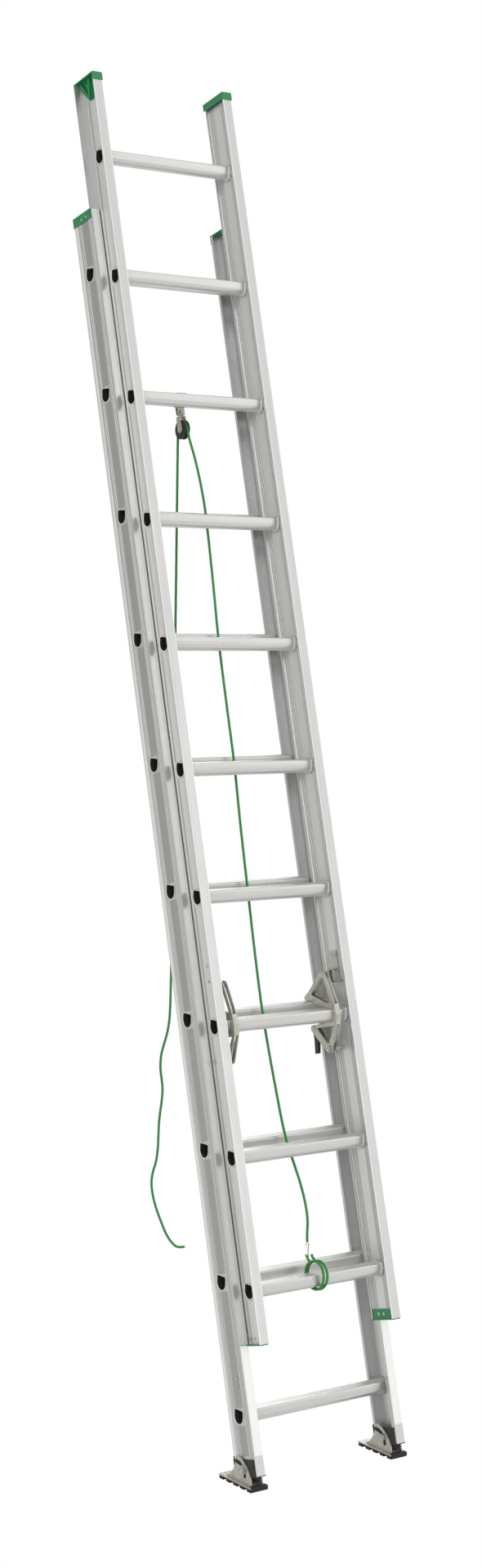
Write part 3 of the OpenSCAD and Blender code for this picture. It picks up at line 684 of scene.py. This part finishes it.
@dataclass
class RailTrim:
    """Ridges, painted highlights on flange faces and lips, painted sheen on the fly webs, etched bands, and
    painted shade beside the ridges, along the rails.

    A run is the lowest and highest w of a length of trim, in millimetres.
    """

    base_run: Flat = (-89.0, 2876.0)
    base_flange_run: Flat = (-89.0, 2897.0)
    fly_ridge_run: Flat = (160.0, 3216.0)
    fly_outer_run: Flat = (160.0, 3166.0)
    fly_inner_run: Flat = (184.0, 3206.0)
    fly_flange_run: Flat = (160.0, 3205.0)
    rim_clear: float = 20.5
    sunk: float = 0.05
    # Half width of the painted-shade strip beside each ridge, and how far it stands out.
    shade_margin: float = 2.6
    margin_proud: float = 0.15
    band_proud: float = 0.2
    dimple_w: float = 2886.0
    dimple_r: float = 2.4
    dimple_proud: float = 0.08
    sharp: float = 60.0

    def prism(self, mesh: bmesh.types.BMesh, section: Sequence[Flat], run: Flat) -> None:
        """Add a bar along the rails.

        Args:
            mesh: the bmesh to add to.
            section: its section's points as (x, d), in millimetres.
            run: its lower and upper end.
        """
        low, high = ([mesh.verts.new(LEAN.point(x, d, w)) for x, d in section] for w in run)
        for j in range(len(section)):
            k = (j + 1) % len(section)
            mesh.faces.new((low[j], low[k], high[k], high[j]))
        mesh.faces.new(low)
        mesh.faces.new(high[::-1])

    def bead(self, face: float, out: float, d0: float, d1: float, height: float) -> list[Flat]:
        """Section of a rounded bead on a web.

        Args:
            face: x of the web's face.
            out: the direction it stands out in, as a sign of x.
            d0: its rear edge.
            d1: its front edge.
            height: how far it stands out.

        Returns:
            The section's points.
        """
        steps = 8
        pts = [(face - out * self.sunk, d0)]
        for i in range(steps + 1):
            a = math.pi * i / steps
            d = 0.5 * (d0 + d1) - 0.5 * (d1 - d0) * math.cos(a)
            pts.append((face + out * height * math.sin(a), d))
        pts.append((face - out * self.sunk, d1))
        return pts

    def band(self, face: float, out: float, d0: float, d1: float, proud: float) -> list[Flat]:
        """Section of a thin flat band on a web, from its face, direction, edges and height."""
        return self.bar(face - out * self.sunk, face + out * proud, d0, d1)

    def bar(self, x0: float, x1: float, d0: float, d1: float) -> list[Flat]:
        """Section of a rectangular bar."""
        return [(x0, d0), (x1, d0), (x1, d1), (x0, d1)]

    def clear_of(self, run: Flat, rungs: Sequence[float]) -> list[Flat]:
        """Lengths of a run that no rung's rim covers."""
        low, high = run
        edges = [low]
        for w in rungs:
            if low < w - self.rim_clear and w + self.rim_clear < high:
                edges += [w - self.rim_clear, w + self.rim_clear]
        edges.append(high)
        return list(zip(edges[::2], edges[1::2]))

    def finish_pieces(
        self, section: str, side: Side, pieces: Sequence[tuple[str, bmesh.types.BMesh, Finish]]
    ) -> None:
        """Turn one rail's meshes into pieces that ride on its section."""
        for word, mesh, finish in pieces:
            obj = new_object(f"{section}_rail_{word}_{side.word}", mesh, finish, self.sharp)
            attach(obj, section)

    def build_dimples(self, side: Side) -> None:
        """Build two rivet dimples on the outside of a base top cap, as flat discs in the painted-highlight
        finish.
        """
        low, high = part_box(f"base_top_cap_{side.word}")
        outside = low.x if side is Side.LEFT else high.x
        x = outside / MM + side.value * self.dimple_proud
        mesh = bmesh.new()
        for d in (-4, 17):
            face = []
            for corner in range(16):
                a = corner * math.pi / 8
                spot = (x, d + self.dimple_r * math.cos(a), self.dimple_w + self.dimple_r * math.sin(a))
                face.append(mesh.verts.new(LEAN.point(*spot)))
            mesh.faces.new(face if side is Side.LEFT else face[::-1])
        obj = new_object(f"base_cap_dimples_{side.word}", mesh, PAINTED_HIGHLIGHT, self.sharp)
        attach(obj, "base")

    def build_base(self, side: Side) -> None:
        """Build the trim of one base rail."""
        out = side.value
        face = out * BASE_WEB.outer
        ridges, bright, etched_and_shade = (bmesh.new() for _ in range(3))
        between = self.clear_of(self.base_run, [LEAN.base_rung(n) for n in range(1, RUNGS + 1)])
        ridge_runs = {-17: between, -11: between, 27: [self.base_run], 33: [self.base_run]}
        for d, runs in ridge_runs.items():
            for run in runs:
                self.prism(ridges, self.bead(face, out, d - 1.6, d + 1.6, 1.2), run)
                # Painted shade: a darker strip each side of the ridge stands in for the shadow in the groove
                # beside it.
                edges = self.band(face, out, d - self.shade_margin, d + self.shade_margin, self.margin_proud)
                self.prism(etched_and_shade, edges, run)
        for run in between:
            self.prism(etched_and_shade, self.band(face, out, -6.5, 21.0, self.band_proud), run)
        # Painted highlight: lighter strips on the front flange's face and on the rear flange's bead, where
        # the light catches them.
        self.prism(bright, self.bar(out * 194.3, out * 216.7, 43.45, 43.7), self.base_flange_run)
        self.prism(bright, self.bead(face, out, -38.5, -27.5, 1.3), self.base_run)
        pieces = (("ridges", ridges, ALUMINIUM), ("bright", bright, PAINTED_HIGHLIGHT), ("etched_and_shade", etched_and_shade, ETCHED_AND_SHADE))
        self.finish_pieces("base", side, pieces)

    def build_fly(self, side: Side) -> None:
        """Build the trim of one fly rail."""
        out = side.value
        outside, inside = out * FLY_WEB.outer, out * FLY_WEB.inner
        ridges, bright, satin, etched_and_shade = (bmesh.new() for _ in range(4))
        rungs = [LEAN.fly_rung(n) for n in range(1, RUNGS + 1)]
        self.prism(ridges, self.bead(outside, out, 47.5, 50.8, 1.2), self.fly_ridge_run)
        # Painted sheen on the convex outer web, in the lighter finish; the darker band under it shows at
        # both edges as painted shade, in the groove and under the flange.
        for run in self.clear_of(self.fly_outer_run, rungs):
            self.prism(satin, self.bead(outside, out, 59.0, 85.0, 1.0), run)
            self.prism(etched_and_shade, self.band(outside, out, 55.5, 88.5, self.margin_proud), run)
        for d in (40, 47, 83, 91):
            self.prism(ridges, self.bead(inside, -out, d - 1.5, d + 1.5, 1.3), self.fly_inner_run)
            # Painted shade: a darker strip each side of the ridge stands in for the shadow in the groove
            # beside it.
            edges = self.band(inside, -out, d - self.shade_margin, d + self.shade_margin, self.margin_proud)
            self.prism(etched_and_shade, edges, self.fly_inner_run)
        # Painted sheen: the inner web between the ridges in the lighter finish.
        for run in self.clear_of(self.fly_inner_run, rungs):
            self.prism(satin, self.band(inside, -out, 51.0, 79.5, self.band_proud), run)
        # Painted highlight: the rear flange's inward bead in the lighter finish.
        self.prism(bright, self.bead(inside, -out, 26.0, 30.0, 1.5), self.fly_inner_run)
        # Painted highlight: thin lighter strips on the front flange's lips.
        for x0, x1 in ((180.8, 182.2), (204.8, 206.2)):
            self.prism(bright, self.bar(out * x0, out * x1, 105.4, 108.62), self.fly_flange_run)
        pieces = (
            ("ridges", ridges, ALUMINIUM),
            ("bright", bright, PAINTED_HIGHLIGHT),
            ("satin", satin, PAINTED_SHEEN),
            ("etched_and_shade", etched_and_shade, ETCHED_AND_SHADE),
        )
        self.finish_pieces("fly", side, pieces)

    def build(self) -> None:
        """Build the trim of all four rails."""
        for side in Side:
            self.build_dimples(side)
        for side in Side:
            self.build_base(side)
            self.build_fly(side)


# ---------------------------------------------------------------- CAD pieces


CAD_FINISH: dict[str, Finish] = {
    "mill_aluminium": ALUMINIUM,
    "rung_aluminium": RUNG_METAL,
    "green_plastic": GREEN,
    "black_plastic": BLACK,
    "black_rubber": RUBBER,
    "zinc_steel": ZINC,
    "rivet_steel": STEEL,
    "sheave_plastic": BLACK,
    "green_rope": ROPE,
}


def finish_solids() -> None:
    """Give each construction solid its finish."""
    for part in frame["record"]["subparts"]:
        obj = frame["nodes"][part["node"]]
        obj.data.materials.clear()
        obj.data.materials.append(material(CAD_FINISH[part["material_slot"]]))


# ---------------------------------------------------------------- stage


FLOOR_DROP = 0.0005
FLOOR_HALF = 30.0
LAMP_TARGET = Vector((0.0, 0.4, 1.6))


@dataclass(frozen=True)
class Lamp:
    """A rectangular lamp turned to the middle of the ladder: metres and watts."""

    name: str
    at: Point
    size: Flat
    power: float

    def build(self) -> None:
        """Add the lamp."""
        data = bpy.data.lights.new(self.name, "AREA")
        data.shape = "RECTANGLE"
        data.size, data.size_y = self.size
        data.energy = self.power
        lamp = bpy.data.objects.new(self.name, data)
        lamp.location = self.at
        lamp.rotation_euler = (LAMP_TARGET - Vector(self.at)).to_track_quat("-Z", "Y").to_euler()
        bpy.context.scene.collection.objects.link(lamp)


LAMPS = (
    Lamp("key_lamp", (-5.5, -3.0, 4.5), (3.0, 4.0), 90.0),
    Lamp("front_lamp", (1.5, -6.5, 3.2), (3.0, 4.5), 70.0),
    Lamp("rear_lamp", (4.5, 4.0, 4.0), (3.0, 4.0), 60.0),
)


def build_world() -> None:
    """White surroundings to the eye, and a light that is stronger from the front right."""
    world = bpy.data.worlds.new("surroundings")
    bpy.context.scene.world = world
    world.use_nodes = True
    tree = world.node_tree
    tree.nodes.clear()
    out = add_node(tree, "ShaderNodeOutputWorld", (400, 0))
    mix = add_node(tree, "ShaderNodeMixShader", (200, 0))
    rays = add_node(tree, "ShaderNodeLightPath", (-200, 300))
    seen = add_node(tree, "ShaderNodeBackground", (0, 100), Color=(1.0, 1.0, 1.0, 1.0), Strength=1.0)
    lit = add_node(tree, "ShaderNodeBackground", (0, -100), Color=(1.0, 0.99, 0.97, 1.0))
    way = add_node(tree, "ShaderNodeTexCoord", (-800, -200))
    aim = add_node(tree, "ShaderNodeVectorMath", (-600, -200), operation="DOT_PRODUCT")
    aim.inputs[1].default_value = (0.42, -0.78, 0.46)
    level = add_node(tree, "ShaderNodeMapRange", (-300, -200))
    level.inputs["From Min"].default_value = -1.0
    level.inputs["To Min"].default_value = 0.5
    level.inputs["To Max"].default_value = 1.08
    link = tree.links.new
    link(way.outputs["Generated"], aim.inputs[0])
    link(aim.outputs["Value"], level.inputs["Value"])
    link(level.outputs["Result"], lit.inputs["Strength"])
    link(rays.outputs["Is Camera Ray"], mix.inputs["Fac"])
    link(lit.outputs["Background"], mix.inputs[1])
    link(seen.outputs["Background"], mix.inputs[2])
    link(mix.outputs["Shader"], out.inputs["Surface"])


def build_floor() -> None:
    """Pale floor just under the shoes."""
    mesh = bmesh.new()
    bmesh.ops.create_grid(mesh, x_segments=1, y_segments=1, size=FLOOR_HALF)
    data = bpy.data.meshes.new("floor")
    mesh.to_mesh(data)
    mesh.free()
    pale = bpy.data.materials.new("pale_floor")
    pale.use_nodes = True
    tree = pale.node_tree
    tree.nodes.clear()
    out = add_node(tree, "ShaderNodeOutputMaterial", (400, 0))
    mix = add_node(tree, "ShaderNodeMixShader", (200, 0))
    rays = add_node(tree, "ShaderNodeLightPath", (-200, 300))
    plain = add_node(tree, "ShaderNodeEmission", (0, 100), Color=(1.0, 1.0, 1.0, 1.0), Strength=1.0)
    body = add_node(tree, "ShaderNodeBsdfDiffuse", (0, -100), Color=(0.8, 0.8, 0.8, 1.0))
    link = tree.links.new
    link(rays.outputs["Is Camera Ray"], mix.inputs["Fac"])
    link(body.outputs["BSDF"], mix.inputs[1])
    link(plain.outputs["Emission"], mix.inputs[2])
    link(mix.outputs["Shader"], out.inputs["Surface"])
    data.materials.append(pale)
    floor = bpy.data.objects.new("floor", data)
    floor.location = (0.0, 0.0, -FLOOR_DROP)
    bpy.context.scene.collection.objects.link(floor)


def build_stage() -> None:
    """Surroundings, lamps and floor."""
    bpy.context.scene.view_settings.view_transform = "Standard"
    build_world()
    for lamp in LAMPS:
        lamp.build()
    build_floor()


def main() -> None:
    """Build the scene in order."""
    Viewpoint().build()
    LOG.info("camera placed")
    RopeWork().build()
    finish_solids()
    RungWork().build_all()
    LOG.info("built %d rungs", 2 * RUNGS)
    RailTrim().build()
    LOG.info("built the trim of the rails")
    build_stage()


if __name__ == "__main__":
    main()
